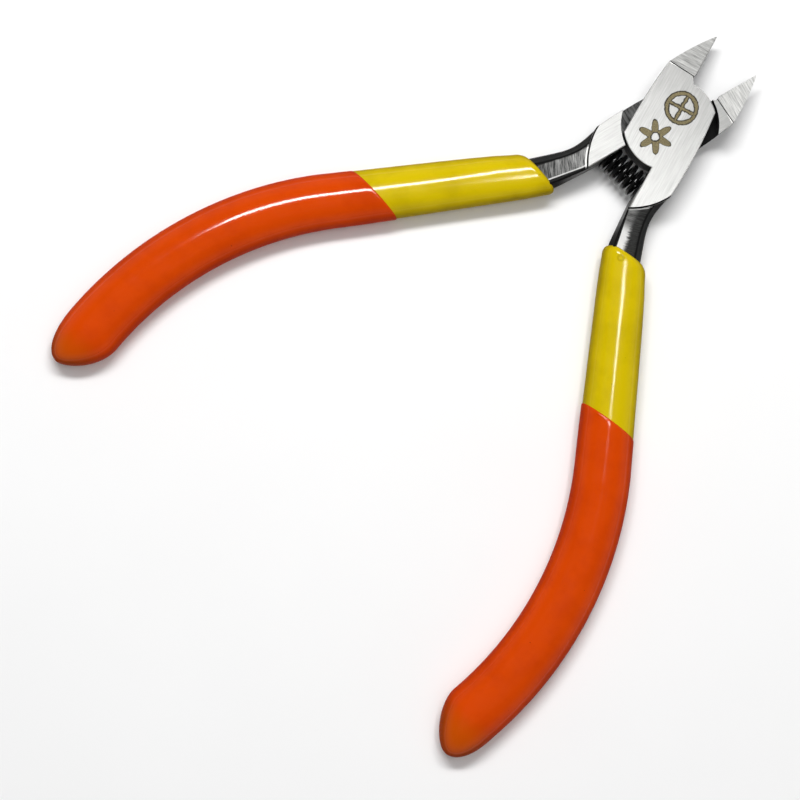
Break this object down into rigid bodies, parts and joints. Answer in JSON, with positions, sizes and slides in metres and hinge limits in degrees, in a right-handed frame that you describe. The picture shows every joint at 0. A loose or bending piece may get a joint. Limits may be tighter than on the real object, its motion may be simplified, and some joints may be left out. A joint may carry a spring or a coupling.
{
  "type": "diagonal cutting pliers",
  "caption": "Small diagonal cutting pliers with a ground lap-joint head, tapered jaws, a black coil spring behind the joint and bowed handles dipped in yellow, then orange, plastic.",
  "frame": {"origin": "on the pivot axis, at the flat ground rear face of the head", "axes": "+Y along the tool's long axis towards the jaw tips, +Z out of the front face, +X to the right seen from the front"},
  "size_m": [0.1007, 0.1171, 0.008],
  "materials": {
    "ground_steel": "ground satin on the head, coarser cross-ground neck and jaws",
    "rivet_steel": "ground flush with the head",
    "black_spring_steel": "black oxide",
    "yellow_dip": "glossy dipped PVC",
    "orange_dip": "glossy dipped PVC"
  },
  "bodies": {
    "rear_lever": {"rear_half": "ground_steel", "left_grip_inner_coat": "yellow_dip", "left_grip_outer_coat": "orange_dip", "return_spring": "black_spring_steel"},
    "front_lever": {"front_half": "ground_steel", "pivot_rivet": "rivet_steel", "right_grip_inner_coat": "yellow_dip", "right_grip_outer_coat": "orange_dip"}
  },
  "joints": [
    {"name": "pivot", "type": "hinge", "parent": "rear_lever", "child": "front_lever", "pos_m": [0, 0, 0.004], "axis": [0, 0, -1], "range_deg": [0, 30.8], "stiffness_Nm_per_rad": 0.1, "deforming": ["return_spring"]}
  ]
}
